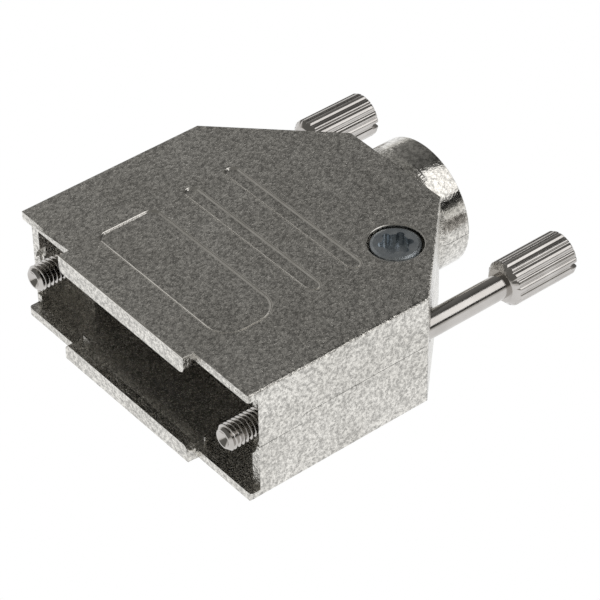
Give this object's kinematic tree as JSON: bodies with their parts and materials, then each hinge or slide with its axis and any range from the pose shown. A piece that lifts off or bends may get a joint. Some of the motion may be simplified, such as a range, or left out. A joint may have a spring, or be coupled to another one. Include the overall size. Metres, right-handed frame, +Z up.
{
  "type": "d-sub hood",
  "caption": "Metal D-sub connector hood with straight cable exit: screwed half shells, captive knurled jackscrews, round cable collar and inner strain-relief strap.",
  "frame": {"origin": "midway between the two jackscrew axes, in the plane of the front edges of the top and bottom plates", "axes": "+Y out of the cable exit, so the mating connector lies at -Y; +X toward the right jackscrew; +Z up, square to the plates"},
  "size_m": [0.0394, 0.0473, 0.0154],
  "materials": {
    "plated_casting": "nickel-plated zinc casting with a fine grain",
    "plated_screw": "bright nickel plate on turned steel",
    "spring_steel": "oiled spring steel",
    "blue_zinc": "dark blue passivated zinc",
    "strap_steel": "zinc-plated steel strip"
  },
  "bodies": {
    "hood": {"upper_shell": "plated_casting", "lower_shell": "plated_casting", "upper_case_screw": "blue_zinc", "lower_case_screw": "blue_zinc", "cable_clamp": "strap_steel", "left_clamp_screw": "plated_screw", "right_clamp_screw": "plated_screw"},
    "left_ring": {"left_retaining_ring": "spring_steel"},
    "left_jackscrew": {"left_thumbscrew": "plated_screw"},
    "right_ring": {"right_retaining_ring": "spring_steel"},
    "right_jackscrew": {"right_thumbscrew": "plated_screw"}
  },
  "joints": [
    {"name": "left_slide", "type": "slide", "parent": "hood", "child": "left_ring", "axis": [0, 1, 0], "range_m": [-0.0065, 0.001]},
    {"name": "left_turn", "type": "hinge", "parent": "left_ring", "child": "left_jackscrew", "pos_m": [-0.01666, 0, 0], "axis": [0, 1, 0], "continuous": true},
    {"name": "right_slide", "type": "slide", "parent": "hood", "child": "right_ring", "axis": [0, 1, 0], "range_m": [-0.0065, 0.001]},
    {"name": "right_turn", "type": "hinge", "parent": "right_ring", "child": "right_jackscrew", "pos_m": [0.01666, 0, 0], "axis": [0, 1, 0], "continuous": true}
  ]
}
